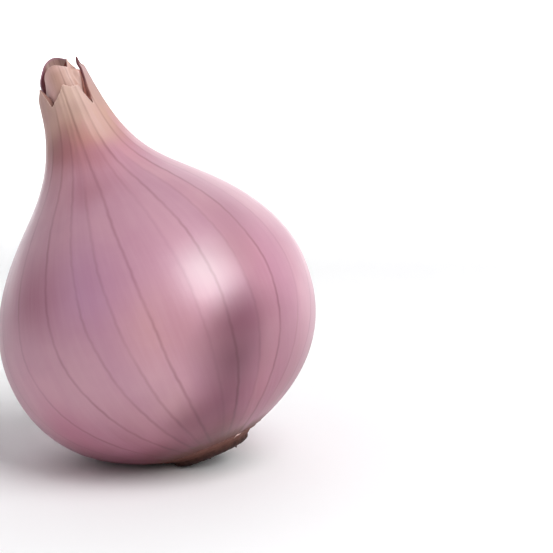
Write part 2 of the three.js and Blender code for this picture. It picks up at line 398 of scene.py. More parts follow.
def dried(tree, shader, spot, fine, relief):
    # Dry grain with a share of the fine fibres.
    grain = useGroup(tree, grainGroup, {"Place": spot, "Size": relief["grain"]})
    height = calc(tree, "MULTIPLY_ADD", fine, relief["fine"], grain["Height"])
    raised(tree, shader, height, relief["bump"], relief["depth"])


# the bulb in its dry outer skin
outerSkin = {
    # main veins on the front: angle on the belly, strength, degrees gained by the neck, and the
    # height where they fade out
    "frontVeins": [(-72, 0.5, 4, 44), (-55.5, 0.75, 4, 44), (-38, 0.9, 5.5, 48), (-24, 0.7, 5, 44),
                   (-13.5, 0.6, 3, 36), (-2.2, 0.85, -2.5, 60), (14.5, 0.35, -4.5, 48),
                   (24, 0.95, -4, 60), (35.5, 0.45, -5, 38), (47, 1.1, -4, 49), (60, 0.45, -5, 44)],
    "gainFrom": 34.0, "gainTo": 46.0,
    # towards the root the veins gather round a point a little in front of the axis
    "gathering": 28.0, "gatherAngle": 6.0, "gatherBelow": 22.0,
    # the veins at the back: how many, and the bounds of their shift, strength, gain and fading
    "backVeins": 15, "backShift": 2.0, "backStrength": (0.25, 1.0), "backGains": (-2.0, 2.0),
    "backFades": (38.0, 60.0), "veinSeed": 7,
    "lobes": [
        {"tip": (-68, 51.8), "notch": (-44.5, 48.9), "before": 0.6, "after": 1.3},
        {"tip": (0.5, 51.1), "notch": (13.5, 50.55), "before": 1.15, "after": 1.3},
        {"tip": (31.5, 50.4), "notch": (43, 47.4), "before": 1.0, "after": 0.85},
        {"tip": (68.5, 54.2), "notch": (76, 52.6), "before": 1.3, "after": 0.5},
        {"tip": (88, 52.95), "notch": (118, 50.9), "before": 1.5, "after": 2},
        {"tip": (140, 51.7), "notch": (165, 50.4), "before": 1.3, "after": 1.3},
        {"tip": (196, 51.9), "notch": (228, 50.2), "before": 1.2, "after": 1.6},
        {"tip": (245, 51.4), "notch": (260, 50.2), "before": 1.3, "after": 1.3}],
    "rimUneven": 0.07,
    # the lobe on the left flares out, and the flap on the right leans in near its tip
    "flareAngle": -85.0, "flareWidth": 28.0, "flare": 0.2, "flareFrom": 46.0, "flareTo": 50.5,
    "leanAngle": 50.0, "leanWidth": 26.0, "leanIn": 0.26, "leanHeight": 53.35, "leanSpan": 0.6,
    "flapFrom": (40.0, 44.0), "flapTo": (71.0, 68.0), "flapWall": 0.26, "flapEdge": (0.9, 0.4),
    "columnsPerVein": 14, "bunching": 0.72, "stripFade": 0.12,
    "bodyRows": 150, "collarRows": 56, "hollowRows": 22, "collar": 44.0,
    "collarCrowding": 1.25, "hollowCrowding": 1.2, "rimBends": (40, 90, 140),
    # the hollow in the neck, and how far below the rim its wall is full and its relief is gone
    "wall": 0.42, "rimWall": 0.2, "wallFull": 2.5, "reliefGone": 1.5,
    "hollowRadius": 2.95, "hollowFloor": 45.2, "hollowOpens": 0.35, "opensOver": (49.0, 52.0),
    "floorDip": 0.2, "floorPole": 0.25,
    # the ridge on each vein, the skin drawn in between two of them, and slow lumps; wander, kinks and
    # lumps calm down towards the neck
    "veinHeight": 0.018, "veinWidth": 0.2, "ridgeFrom": (0.8, 5.0),
    "neckFade": 0.6, "neckFadeOver": (46.0, 52.0), "fadeAbove": 3.0, "fadeBelow": 1.0,
    "pleat": 0.006, "neckPleat": 0.011, "pleatFrom": (1.0, 5.0), "pleatDeepens": (30.0, 46.0),
    "lumps": 0.05, "lumpsFrom": (3.0, 10.0), "calm": 0.7, "calmOver": (36.0, 46.0),
    # sines up the bulb, as size, radians in a millimetre and radians from each vein to the next: two
    # slow ones and two quick ones for the wander, in millimetres, and two for the strength
    "wander": [(0.08, 1 / 3.1, 5.27), (0.04, 1 / 1.4, 9.01), (0.022, 2.9, 13.09), (0.022, 4.7, 3.91)],
    "strength": 0.86, "strengthSines": [(0.12, 0.9, 2.1), (0.12, 0.37, 4.3)],
    # waves: how many, their seed, and the fewest and most turns of one round the bulb
    "raggedWaves": (9, 3, 5, 40), "flakeWaves": (6, 4, 20, 70), "rimWaves": (8, 5, 20, 90),
    "lumpWaves": (8, 11, 1, 6),
    # the edge round the root, along the outline, with one longer torn tooth
    "rootEdge": 2.2, "rootRagged": 0.2, "flakes": 1.2,
    "toothAngle": 33.0, "toothHeight": 0.3, "toothWidth": 4.0, "toothReach": 1.2,
    "tuckIn": 0.12, "tuckUp": 0.16, "recessRadius": 5.9, "recessFloor": 1.7,
}


def makeVeins():
    # Each vein's angle, strength, drift in the neck and height of fading, and a tint. Those on the
    # front are as listed, and those at the back stand evenly but for seeded shifts.
    s = outerSkin
    draw = np.random.default_rng(s["veinSeed"])
    number = s["backVeins"]
    front = np.array(s["frontVeins"])
    step = (front[0, 0] + 360 - front[-1, 0]) / (number + 1)
    even = front[-1, 0] + step * (np.arange(number) + 1)
    back = [even + draw.uniform(-s["backShift"], s["backShift"], number),
            draw.uniform(*s["backStrength"], number),
            draw.uniform(*s["backGains"], number),
            draw.uniform(*s["backFades"], number)]
    veins = np.concatenate([front, np.stack(back, axis=-1)])
    return (*veins.T, draw.uniform(0, 1, len(veins)))


veinAngle, veinStrength, neckDrift, fadesAt, veinTint = makeVeins()


def calmed(height):
    # 1 on the body, and less by the calm in the neck.
    return 1 - outerSkin["calm"] * smooth(height, *outerSkin["calmOver"])


def sines(terms, height, index):
    # A sum of sines up the bulb, each with its own start on every vein.
    return sum(size * np.sin(height * pace + index * step) for size, pace, step in terms)


def veinPath(index, height):
    # A vein's own angle, what it gains in the neck and near the root, and its wander, which is a
    # length: divided by the radius, it gives an angle.
    s = outerSkin
    gained = neckDrift[index] * smooth(height, s["gainFrom"], s["gainTo"])
    gathering = -s["gathering"] * np.sin(np.radians(veinAngle[index] - s["gatherAngle"]))
    gathered = gathering * np.clip(1 - height / s["gatherBelow"], 0, 1) ** 2
    wander = sines(s["wander"], height, index) * calmed(height) / np.maximum(radiusAt(height), 3)
    return veinAngle[index] + gained + gathered + np.degrees(wander)


def makeColumns():
    # The columns round the skin, bunched towards the veins, so that a thin ridge has enough of them:
    # the vein before each column, the one after it, and the column's share of the way between them.
    s = outerSkin
    count = len(veinAngle)
    per = s["columnsPerVein"]
    before = np.repeat(np.arange(count), per)
    even = np.tile(np.arange(per) / per, count)
    return before, (before + 1) % count, even - s["bunching"] * np.sin(2 * np.pi * even) / (2 * np.pi)


veinBefore, veinAfter, share = makeColumns()
fullTurn = 360 * (veinAfter < veinBefore)         # where the next vein is past the end of the turn


def angleAt(height):
    # The angle of each column at a height.
    return mixed(veinPath(veinBefore, height), veinPath(veinAfter, height) + fullTurn, share)


def skinRadius(angle, height):
    # The bulb's radius with the left lobe's flare and the right flap's lean, each a bell in the
    # angle, and the lean a bell in the height too.
    s = outerSkin
    flare = (s["flare"] * bell(angle, s["flareAngle"], s["flareWidth"])
             * smooth(height, s["flareFrom"], s["flareTo"]))
    inward = (s["leanIn"] * bell(angle, s["leanAngle"], s["leanWidth"])
              * np.exp(-((height - s["leanHeight"]) / s["leanSpan"]) ** 2))
    return radiusAt(height) + flare - inward


def skinEdges():
    # The torn tooth, the torn edge round the root as a length up the outline, and the neck's rim.
    s = outerSkin
    flat = mixed(veinAngle[veinBefore], veinAngle[veinAfter] + fullTurn, share)
    ragged = waves(flat, 0, *s["raggedWaves"])
    flakes = np.abs(waves(flat, 0, *s["flakeWaves"]))
    tooth = bell(angleAt(s["toothHeight"]), s["toothAngle"], s["toothWidth"])
    edge = s["rootEdge"] + s["rootRagged"] * (ragged + s["flakes"] * flakes) - s["toothReach"] * tooth
    rim = tornRim(s["lobes"], flat) + s["rimUneven"] * waves(flat, 0, *s["rimWaves"])
    return tooth, edge, rim


def skinRelief(angle, height):
    # The distance from the nearest vein, that vein's strength, and what stands on the form: a ridge
    # on each vein, e to the minus square of the distance in widths; a cosine between the veins,
    # deeper in the neck; and the lumps.
    s = outerSkin
    nearest = np.minimum(np.abs(angle - veinPath(veinBefore, height)),
                         np.abs(veinPath(veinAfter, height) + fullTurn - angle))
    distance = np.radians(nearest) * skinRadius(angle, height)
    owner = np.where(share < 0.5, veinBefore, veinAfter)
    fading = smooth(height, fadesAt[owner] + s["fadeAbove"], fadesAt[owner] - s["fadeBelow"])
    strength = veinStrength[owner] * (s["strength"] + sines(s["strengthSines"], height, owner)) * fading
    shown = smooth(height, *s["ridgeFrom"]) * (1 - s["neckFade"] * smooth(height, *s["neckFadeOver"]))
    ridge = s["veinHeight"] * strength * np.exp(-(distance / s["veinWidth"]) ** 2) * shown
    depth = mixed(s["pleat"], s["neckPleat"], smooth(height, *s["pleatDeepens"]))
    pleat = depth * np.cos(2 * np.pi * share) * smooth(height, *s["pleatFrom"])
    lump = s["lumps"] * waves(angle, height, *s["lumpWaves"]) * smooth(height, *s["lumpsFrom"])
    return distance, strength, ridge + pleat + lump * calmed(height)


def makeOuterSkin():
    # Rings of points from the recess over the root plate, up the outside, over the torn rim and
    # down into the hollow of the neck.
    s = outerSkin
    tooth, edge, rim = skinEdges()

    # rows: lengths up the outside to the collar, then shares of the way to the rim, closer near it
    lengths = np.linspace(0, 1, s["bodyRows"])[:, None]
    bodyHeight = np.interp(mixed(edge, lengthAt(s["collar"]), lengths), outlineLength, outlineHeight)
    shares = 1 - (1 - np.linspace(0, 1, s["collarRows"] + 1)[1:, None]) ** s["collarCrowding"]
    height = np.vstack([bodyHeight, mixed(s["collar"], rim, shares)])
    angle = angleAt(height)
    distance, strength, relief = skinRelief(angle, height)
    outer = skinRadius(angle, height) + relief
    outside = place(angle, outer, height)

    # over the rim in a half round
    top = height[-1]
    topAngle = angle[-1]
    topRadius = outer[-1]
    flap = smooth(topAngle, *s["flapFrom"]) * smooth(topAngle, *s["flapTo"])
    rimWall = mixed(s["rimWall"], s["flapWall"], flap)
    half = rimWall / 2
    bend = np.radians(s["rimBends"])[:, None]
    over = place(topAngle, topRadius - half + half * np.cos(bend), top + half * np.sin(bend))

    # down inside the neck to the floor of its hollow, a wall's thickness from the outside or less
    down = np.linspace(0, 1, s["hollowRows"])[:, None] ** s["hollowCrowding"]
    innerHeight = mixed(top, s["hollowFloor"], down)
    innerAngle = angleAt(innerHeight)
    below = top - innerHeight
    formed = skinRadius(innerAngle, innerHeight)
    wall = mixed(rimWall, s["wall"], smooth(below, 0, s["wallFull"]))
    carried = relief[-1] * (1 - smooth(below, 0, s["reliefGone"]))
    hollow = (s["hollowRadius"] + formed - radiusAt(innerHeight)
              + s["hollowOpens"] * smooth(innerHeight, *s["opensOver"]))
    hollow = np.minimum(formed - wall + carried, hollow)
    inside = place(innerAngle, hollow, innerHeight)
    floorRing = place(innerAngle[-1], hollow[-1] / 2, s["hollowFloor"] - s["floorDip"])

    # under the root edge: in by the skin's thickness, then to the top of the root plate's recess
    tucked = place(angle[0], outer[0] - s["tuckIn"], height[0] + s["tuckUp"])
    recess = place(angle[0], s["recessRadius"], s["recessFloor"])
    points = np.concatenate([recess[None], tucked[None], outside, over, inside, floorRing[None]])
    poles = place(0, 0, np.array([s["recessFloor"], s["hollowFloor"] - s["floorPole"]]))
    vertices = np.vstack([points.reshape(-1, 3), poles])
    columns = len(share)
    piece = newPiece("outerSkin", vertices, closedFaces(len(points), columns), makeOuterMaterial())

    # What the material reads. Two rows lie under the outside, and the rows beyond it begin with
    # those over the rim and end with the floor's ring.
    beyond = np.arange(len(points) - 2 - len(outside))[:, None]

    def beyondRim(onRim, inHollow):
        return np.vstack([np.tile(onRim, (len(bend), 1)), inHollow, inHollow[-1:]])

    def spread(values, under, later, atPoles):
        block = [np.broadcast_to(under, (2, columns)), np.broadcast_to(values, height.shape),
                 np.broadcast_to(later, (len(beyond), columns))]
        return np.concatenate([np.vstack(block).ravel(), np.broadcast_to(atPoles, 2)])

    allAngle = spread(angle, angle[0], beyondRim(topAngle, innerAngle), 0)
    allHeight = spread(height, height[0], beyondRim(top, innerHeight), s["hollowFloor"])
    addVector(piece, "spot", vertices)
    addRun(piece, allAngle, lengthAt(allHeight))
    addValue(piece, "veinDistance", spread(distance, distance[0], distance[-1], farAway))
    addValue(piece, "veinStrength", spread(strength, strength[0], 0, 0))
    belowRim = np.where(height > s["collar"] - 1, rim - height, farAway)
    addValue(piece, "fromRim", spread(belowRim, farAway, beyondRim(0 * top, below), farAway))
    addValue(piece, "fromRoot", spread(lengthAt(height) - edge, 0, farAway, farAway))
    addValue(piece, "inside", spread(0, 0, beyond > 0, (0, 1)))
    beside = smooth(rim - height, *s["flapEdge"]) * (height > s["collar"])
    addValue(piece, "flapEdge", spread(beside * flap, 0, (beyond < len(bend)) * flap, 0))
    addValue(piece, "tooth", spread(tooth, tooth, tooth, 0))

    # each strip has its own tint, which turns into the next one's at the vein between them
    edgeTint = mixed(veinTint, np.roll(veinTint, 1), 0.5)
    strip = mixed(edgeTint[veinBefore], veinTint[veinBefore], smooth(share, 0.0, s["stripFade"]))
    strip = mixed(strip, edgeTint[veinAfter], smooth(share, 1 - s["stripFade"], 1.0))
    addValue(piece, "strip", spread(strip, strip, strip, 0.5))
    return piece


# its colours by height up the bulb, and the layers over them
outerFinish = {
    "stops": [(0.0, (116, 68, 80)), (3.0, (134, 82, 98)), (6.0, (158, 108, 122)), (9.0, (182, 134, 148)),
              (13.0, (194, 148, 162)), (22.0, (190, 142, 158)), (34.0, (192, 145, 160)),
              (39.0, (190, 138, 150)), (43.0, (184, 128, 132)), (46.0, (190, 148, 135)),
              (49.0, (196, 163, 147)), (54.0, (200, 167, 151))],
    "stopSpan": 56.0, "fibres": 5.0, "streakDraw": 8.0, "neck": (40.0, 46.0),
    "stripTints": ((160, 112, 146), (208, 152, 160)), "stripAmount": (38.0, 45.0, 0.17, 0.0),
    "streakTints": ((166, 108, 132), (176, 134, 116)), "streakAmount": (-0.2, 0.25, 0.0, 0.25),
    "mottleNoise": (0.16, 3.0, 0.55),
    "mottle": {"over": (0.35, 0.7, 0.0, 0.3), "tint": (172, 120, 142)},
    "paleFibre": {"over": (-0.2, 0.25, 0.0, 0.1), "tint": (206, 168, 178)},
    "deeperLow": {"over": (13.0, 3.0, 0.0, 0.38), "tint": (138, 52, 80)},
    "veinTints": ((136, 62, 84), (142, 98, 90)),
    "veinWidth": (36.0, 47.0, 0.36, 0.24), "veinAmount": (18.0, 7.0, 0.31, 0.42),
    "rootNoise": (0.9, 2.0, 0.5), "rootRagged": -3.4, "rootBack": 0.7,
    "root": {"over": (2.5, 0.1, 0.0, 0.92), "tint": (102, 58, 52)},
    "toothBelow": (1.5, 0.8), "tooth": {"over": (0.3, 0.7), "tint": (240, 206, 200)},
    # a paler rim, partly the torn edge's own tone and partly a painted highlight
    "rim": {"over": (0.12, 0.0, 0.0, 0.4), "tint": (222, 190, 176)},
    # inside the hollow: painted shade at the bottom and on the left, and a pale painted light above
    "inside": (0.4, 0.6), "within": (47.5, 48.9), "withinTints": ((130, 80, 76), (244, 194, 184)),
    "paintedShadeLeft": {"over": (-0.5, -1.8), "tint": (146, 108, 98)},
    # the right flap's dark edge: partly its own tone, partly painted shade
    "flapEdge": (0.2, 0.6), "flapEdgeUp": (49.6, 51.4),
    "flapEdgeTints": ((156, 108, 100), (100, 46, 52)),
    "rough": (-0.3, 0.3, 0.29, 0.35), "dullNeck": (41.0, 48.0), "dullRoot": (4.0, 0.0), "dulling": 0.24,
    "ior": 1.47, "relief": {"grain": 1.2, "fine": 0.5, "bump": 0.12, "depth": 0.1},
}

# soft patches of colour: angle, height, radius, amount and tint
bodyPatchesAndShade = [
    # the two dark ones on the left, at -88 and -46 degrees, are painted shade on the side turned from
    # the light
    (-22, 26, 9.0, 0.55, (172, 126, 164)), (-88, 23, 13.0, 1.0, (146, 76, 100)),
    (-46, 27, 8.0, 0.75, (148, 84, 108)), (-57, 18, 9.0, 0.5, (206, 152, 170)),
    (-51, 13, 8.0, 0.3, (202, 148, 162)), (2, 17, 9.0, 0.65, (194, 144, 138)),
    (-10, 8, 9.0, 0.55, (206, 170, 170)), (42, 21, 7.0, 0.4, (172, 112, 134)),
    (46, 31, 13.0, 0.4, (182, 148, 156)), (120, 20, 14.0, 0.5, (172, 126, 150)),
    (200, 24, 13.0, 0.45, (190, 140, 150)), (250, 16, 12.0, 0.5, (168, 120, 146))]

# painted shade: darker low on the right, a painted cast shadow, and low on the front and left and round
# the root, where the bulb meets the floor; the pale patch at 23 degrees and 22.5 mm is a painted
# highlight, and the darker ones beside it at 36 and 44 degrees are painted shade
paintedShadeAndHighlightPatches = [
    (12, 6, 7.0, 0.75, (108, 58, 76)), (-4, 5, 5.5, 0.6, (112, 62, 76)), (5, 2, 4.0, 0.7, (96, 54, 56)),
    (20.5, 11, 7.5, 0.82, (84, 34, 52)), (24.5, 14.5, 5.5, 0.5, (92, 38, 56)),
    (29, 16, 6.0, 0.4, (104, 50, 68)), (12, 14, 6.0, 0.3, (130, 80, 92)),
    (33, 14, 9.0, 0.45, (104, 50, 70)), (46, 10, 9.0, 0.4, (124, 70, 88)),
    (23, 22.5, 5.0, 0.55, (176, 152, 158)), (36, 23, 6.0, 0.6, (160, 112, 124)),
    (12, 3, 4.5, 0.6, (98, 42, 48)), (-56, 10, 7.0, 0.45, (170, 86, 116)),
    (44, 27.5, 6.0, 0.3, (150, 104, 120)), (-41, 2, 6.5, 0.85, (108, 28, 46)),
    (-20, 2, 6.5, 0.7, (104, 48, 62)), (22, 1.2, 3.6, 0.8, (92, 40, 32)),
    (-60, 3.5, 6.0, 0.5, (120, 62, 82))]

# where the pink runs out into the tan of the neck
neckPatches = [
    (68, 49, 4.0, 0.4, (170, 134, 126)), (-28, 43, 4.6, 0.7, (160, 100, 102)),
    (14, 43.6, 3.0, 0.6, (184, 124, 112)), (-4, 44, 2.6, 0.5, (170, 116, 108)),
    (35, 44, 4.2, 0.6, (190, 156, 140)), (-43, 40, 3.5, 0.4, (190, 144, 154)),
    (80, 52, 4.5, 0.7, (174, 142, 146)), (30, 45.5, 4.0, 0.35, (180, 140, 128)),
    (54, 49.5, 4.0, 0.6, (176, 140, 132)), (2, 47.5, 2.6, 0.5, (164, 132, 118)),
    (-55, 46.5, 3.0, 0.5, (200, 160, 150)), (-50, 44, 3.5, 0.5, (150, 104, 106)),
    (-14, 45.5, 2.4, 0.5, (158, 114, 104)), (2, 41, 3.5, 0.5, (168, 108, 116)),
    (-10, 37, 4.5, 0.5, (166, 108, 122))]


def rampOf(tree, value, stops, span):
    # A colour ramp over a value from 0 to span.
    ramp = addNode(tree, "ValToRGB", {0: calc(tree, "DIVIDE", value, span)})
    elements = ramp.color_ramp.elements
    for element, (at, tint) in zip(elements, (stops[0], stops[-1])):
        element.position = at / span
        element.color = linear(*tint)
    for at, tint in stops[1:-1]:
        elements.new(at / span).color = linear(*tint)
    return ramp.outputs[0]


def makeOuterMaterial():
    f = outerFinish
    material, tree, shader = newMaterial("dry outer skin")
    spot = attribute(tree, "spot", True)
    height = part(tree, spot, "Z")
    fromRoot = attribute(tree, "fromRoot")
    fibres = useGroup(tree, fibreGroup, {"Run": attribute(tree, "run", True),
                                        "Number": f["fibres"]})
    broad = calc(tree, "SUBTRACT", fibres["Broad"], 0.5)
    fine = calc(tree, "SUBTRACT", fibres["Fine"], 0.5)

    # colour by height, with the bounds of the zones drawn out into streaks
    streaked = calc(tree, "MULTIPLY_ADD", broad, f["streakDraw"], height)
    colour = rampOf(tree, streaked, f["stops"], f["stopSpan"])
    # soft patches of colour, the two dark ones on the left painted shade
    colour = patched(tree, colour, spot, bodyPatchesAndShade)

    # each strip between two veins has its own tint, then come streaks, slow mottling and pale fibres
    strip = between(tree, attribute(tree, "strip"), f["stripTints"])
    inNeck = ranged(tree, height, *f["neck"])
    colour = blended(tree, ranged(tree, height, *f["stripAmount"]), colour, strip)
    streakTint = between(tree, inNeck, f["streakTints"])
    colour = blended(tree, ranged(tree, broad, *f["streakAmount"]), colour, streakTint)
    colour = layered(tree, colour, noise(tree, spot, *f["mottleNoise"]), f["mottle"])
    colour = layered(tree, colour, fine, f["paleFibre"])
    # deeper and redder towards the bottom
    colour = layered(tree, colour, height, f["deeperLow"])
    # the painted shade low on the bulb and the painted highlight patch, then the neck's patches
    colour = patched(tree, colour, spot, paintedShadeAndHighlightPatches + neckPatches)

    # the vein lines
    veins = useGroup(tree, veinGroup, {"Distance": attribute(tree, "veinDistance"),
                                       "Strength": attribute(tree, "veinStrength"),
                                       "Width": ranged(tree, height, *f["veinWidth"])})
    shown = calc(tree, "MULTIPLY", veins["Mask"], ranged(tree, height, *f["veinAmount"]))
    colour = blended(tree, shown, colour, between(tree, inNeck, f["veinTints"]), "MULTIPLY")

    # brown where it meets the root, with a pale torn tooth, and a paler rim, partly its own tone and
    # partly a painted highlight
    ragged = calc(tree, "ADD", fromRoot, f["rootBack"])
    ragged = calc(tree, "MULTIPLY_ADD", noise(tree, spot, *f["rootNoise"]), f["rootRagged"], ragged)
    colour = layered(tree, colour, ragged, f["root"])
    tooth = calc(tree, "MULTIPLY", attribute(tree, "tooth"), ranged(tree, fromRoot, *f["toothBelow"]))
    colour = layered(tree, colour, tooth, f["tooth"])
    colour = layered(tree, colour, attribute(tree, "fromRim"), f["rim"])

    # inside it is painted shade, dark brown at the bottom of the hollow and darker on the left, and
    # painted light, pale above; the edge of the right flap is dark, partly its own tone and partly
    # painted shade
    within = between(tree, ranged(tree, height, *f["within"]), f["withinTints"])
    within = layered(tree, within, part(tree, spot, "X"), f["paintedShadeLeft"])
    colour = blended(tree, ranged(tree, attribute(tree, "inside"), *f["inside"]), colour, within)
    # the right flap's dark edge, partly its own tone and partly painted shade
    edgeTint = between(tree, ranged(tree, height, *f["flapEdgeUp"]), f["flapEdgeTints"])
    onEdge = ranged(tree, attribute(tree, "flapEdge"), *f["flapEdge"])
    colour = blended(tree, onEdge, colour, edgeTint)
    tree.links.new(colour, shader.inputs["Base Color"])

    # satin on the body, dull in the neck and round the root
    dull = calc(tree, "MAXIMUM", ranged(tree, height, *f["dullNeck"]),
                ranged(tree, fromRoot, *f["dullRoot"]))
    rough = calc(tree, "MULTIPLY_ADD", dull, f["dulling"], ranged(tree, broad, *f["rough"]))
    tree.links.new(rough, shader.inputs["Roughness"])
    shader.inputs["IOR"].default_value = f["ior"]
    dried(tree, shader, spot, fine, f["relief"])
    return material


# The skins that stand in the neck: blades between two angles, from a foot in the hollow up to a torn
# edge. topWall is the share of the wall's thickness that is left at the edge.
secondSkin = {
    "from": 60.0, "to": 266.0, "wall": 0.22, "topWall": 0.75, "foot": 45.4, "firstNotch": (59.0, 52.4),
    "lobes": [{"tip": (64, 52.5), "notch": (105, 49.4), "before": 0.9, "after": 1.0},
              {"tip": (140, 54.8), "notch": (143, 54.75), "before": 0.5, "after": 1.0},
              {"tip": (185, 55.5), "notch": (272, 52.1), "before": 1.8, "after": 2.05}],
    "columns": 220, "rows": 70, "ragged": 0.04, "seed": 31,
    "veins": (60, 75, 96, 110, 128, 165, 184, 201, 222, 243),
    "radius": 2.8, "narrowsFrom": 51.0, "narrowsOver": 4.4, "narrowsBy": 0.55,
    # it flares at its left margin, and on the right it lies against the outer skin
    "flare": 0.28, "flareBelow": (54.2, 52.2), "flareBeyond": (200.0, 240.0),
    "rightRadius": 3.25, "rightOf": (100.0, 75.0),
}

# its free margin, which passes inside the young skin and shows above it
frontFold = {
    "from": 34.0, "to": 82.0, "wall": 0.2, "topWall": 0.7, "foot": 46.0, "firstNotch": (33.5, 53.1),
    "lobes": [{"tip": (45, 54.45), "notch": (90, 51.6), "before": 1.0, "after": 0.8}],
    "columns": 70, "rows": 50, "ragged": 0.015, "seed": 35, "veins": (52, 90),
    # inside the young skin at its margin, and level with it on the right
    "radius": 2.18, "widens": 0.24, "widensOver": (52.0, 72.0),
}

innerSkin = {
    "from": -84.0, "to": 84.0, "wall": 0.2, "topWall": 0.7, "foot": 45.4, "firstNotch": (-82, 51.7),
    "lobes": [{"tip": (-14, 54.08), "notch": (45, 52.9), "before": 2.3, "after": 1.35},
              {"tip": (50, 52.95), "notch": (86, 51.3), "before": 1.0, "after": 0.9}],
    "columns": 130, "rows": 70, "ragged": 0.02, "seed": 41, "veins": (4, 23),
    "radius": 2.42, "narrowsFrom": 52.5, "narrowsOver": 1.5, "narrowsBy": 0.2,
    # it flares where it meets the bulb, and more at its right margin
    "footFlare": 0.45, "footBelow": (52.3, 50.0), "footLeftOf": (50.0, 30.0),
    "marginFlare": 0.66, "marginBelow": (53.1, 52.2), "marginBeyond": (36.0, 60.0),
}

# what the blades share; seeded waves make the torn edge and the faces a little uneven
bladeForm = {
    "crowding": 1.6, "raggedWaves": 7, "raggedTurns": (15, 60),
    "uneven": 0.05, "unevenWaves": 6, "unevenTurns": (2, 9), "unevenFrom": (50.0, 53.0),
    "thinsBelow": 2.0, "crest": 0.3, "crestRadius": 2.5,
}


def narrowing(s, height):
    # A tube that narrows above its start by the square of the way up.
    way = np.maximum(0, height - s["narrowsFrom"]) / s["narrowsOver"]
    return s["radius"] - s["narrowsBy"] * way ** 2


def secondRadius(angle, height):
    s = secondSkin
    flare = s["flare"] * smooth(height, *s["flareBelow"]) * smooth(angle, *s["flareBeyond"])
    return mixed(narrowing(s, height) + flare, s["rightRadius"], smooth(angle, *s["rightOf"]))


def foldRadius(angle, _):
    s = frontFold
    return s["radius"] + s["widens"] * smooth(angle, *s["widensOver"])


def innerRadius(angle, height):
    s = innerSkin
    atFoot = s["footFlare"] * smooth(height, *s["footBelow"]) * smooth(angle, *s["footLeftOf"])
    atMargin = s["marginFlare"] * smooth(height, *s["marginBelow"]) * smooth(angle, *s["marginBeyond"])
    return narrowing(s, height) + atFoot + atMargin


def makeBlade(name, s, radiusOf, material):
    # An outer face, an inner face a wall's thickness inside it, a crest that joins them along the
    # top, and flat sides and sole.
    form = bladeForm
    angle = np.linspace(s["from"], s["to"], s["columns"])[None]
    rows = (1 - (1 - np.linspace(0, 1, s["rows"])) ** form["crowding"])[:, None]
    ragged = waves(angle, 0, form["raggedWaves"], s["seed"], *form["raggedTurns"])
    top = tornRim(s["lobes"], angle, s["firstNotch"]) + s["ragged"] * ragged
    height = mixed(s["foot"], top, rows)
    uneven = waves(angle, height, form["unevenWaves"], s["seed"] + 1, *form["unevenTurns"])
    radius = radiusOf(angle, height) + form["uneven"] * uneven * smooth(height, *form["unevenFrom"])
    thick = s["wall"] * mixed(1.0, s["topWall"], smooth(top - height, form["thinsBelow"], 0.0))
    outer = place(angle, radius, height)
    inner = place(angle, radius - thick, height)
    ring = np.concatenate([outer, inner[:, ::-1]], axis=1)
    middle = place(angle, radius - thick / 2, height + form["crest"] * thick)[-1]
    count = s["columns"]
    faces = gridFaces(s["rows"], 2 * count, closed=True)
    lastRow = (s["rows"] - 1) * 2 * count
    firstCrest = s["rows"] * 2 * count
    here = np.arange(count - 1)
    crest = firstCrest + here
    faces += np.stack([lastRow + here, lastRow + here + 1, crest + 1, crest], axis=-1).tolist()
    innerTop = lastRow + 2 * count - 1 - here
    faces += np.stack([crest, crest + 1, innerTop - 1, innerTop], axis=-1).tolist()
    faces += [[lastRow, firstCrest, lastRow + 2 * count - 1],
              [lastRow + count - 1, lastRow + count, firstCrest + count - 1]]
    sole = np.stack([here + 1, here, 2 * count - 1 - here, 2 * count - 2 - here], axis=-1)
    faces += sole.tolist()
    piece = newPiece(name, np.vstack([ring.reshape(-1, 3), middle]), faces, material)

    def both(values, crestValues):
        # The same values on both faces, and the crest's after them.
        values = np.broadcast_to(values, height.shape)
        faceValues = np.concatenate([values, values[:, ::-1]], axis=1)
        return np.concatenate([faceValues.ravel(), crestValues.ravel()])

    angles = both(angle, angle[0])
    near = np.abs(angle[..., None] - np.array(s["veins"])).min(axis=-1)
    addVector(piece, "spot", np.vstack([ring.reshape(-1, 3), middle]))
    addRun(piece, angles, both(height, top[0]))
    near = np.radians(near)
    addValue(piece, "veinDistance", both(near * radius, near[0] * form["crestRadius"]))
    addValue(piece, "fromRim", both(top - height, 0 * top[0]))
    addValue(piece, "angle", angles)
    inside = np.concatenate([np.zeros_like(outer[..., 0]), np.ones_like(inner[..., 0])], axis=1)
    addValue(piece, "inside", np.concatenate([inside.ravel(), np.full(count, 0.5)]))
    return piece


bladeRelief = {"grain": 0.5, "fine": 0.8, "bump": 0.2, "depth": 0.1}

innerFinish = {
    "fibres": 9.0,
    "tints": ((196, 156, 144), (172, 132, 118)),
    # painted light: the left side, turned from the light, is made paler
    "left": {"over": (-0.2, -1.7, 0.0, 0.85), "tint": (224, 180, 178)},
    "veinWidth": 0.15, "veinAmount": 0.5, "veinTint": (132, 88, 80),
    # painted shade: darker at the foot, deep in the hollow
    "foot": {"over": (49.0, 46.5, 0.0, 0.5), "tint": (150, 102, 90)},
    "top": {"over": (52.8, 53.8, 0.0, 0.4), "tint": (212, 170, 166)},
    # its right margin is pale: painted light on the part that lies in the flap's shadow
    "marginFrom": (48.0, 56.0), "marginBelow": (53.2, 52.4, 0.0, 0.8),
    "margin": (50.8, 49.4), "marginLightTints": ((236, 190, 180), (216, 166, 156)),
    "roughness": 0.45,
}


def veined(tree, colour, finish):
    # Thin lines along a blade.
    mask = useGroup(tree, veinGroup, {"Distance": attribute(tree, "veinDistance"),
                                      "Width": finish["veinWidth"]})["Mask"]
    amount = calc(tree, "MULTIPLY", mask, finish["veinAmount"])
    return blended(tree, amount, colour, linear(*finish["veinTint"]))


